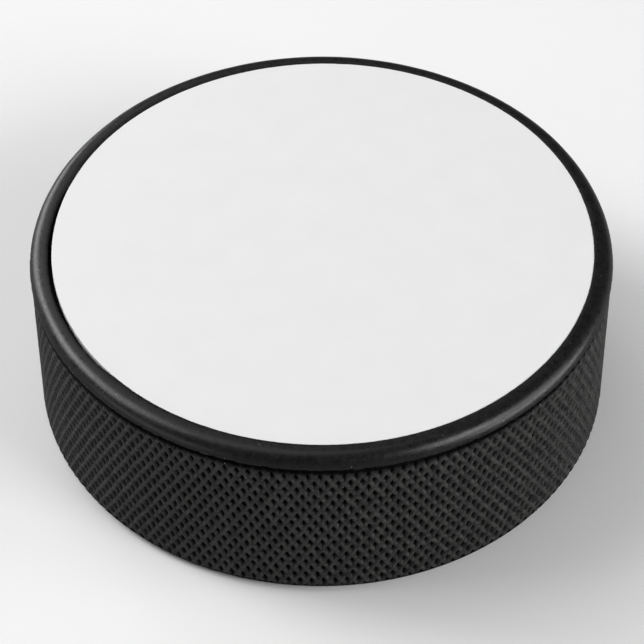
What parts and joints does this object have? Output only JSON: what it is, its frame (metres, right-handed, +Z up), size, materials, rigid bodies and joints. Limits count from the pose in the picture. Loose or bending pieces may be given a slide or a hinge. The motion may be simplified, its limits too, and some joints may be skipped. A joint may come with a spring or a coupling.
{
  "type": "hockey puck",
  "caption": "Round black rubber ice hockey puck with rounded edges, a diamond-grip side and a blank white printable face set into the top.",
  "frame": {"origin": "centre of the underside, on the surface that the puck lies on", "axes": "+Z up along the puck's axis, towards the white face; -Y is the front, and +X is to the right"},
  "size_m": [0.0762, 0.0762, 0.0254],
  "materials": {
    "rubber": "black vulcanised rubber, matt, with a soft sheen on the rounded edges",
    "adhesive": "clear double-sided adhesive film",
    "white_face": "matt white printable sheet, faintly mottled"
  },
  "bodies": {
    "root": {"puck_body": "rubber", "adhesive_film": "adhesive", "face_disc": "white_face"}
  },
  "joints": []
}
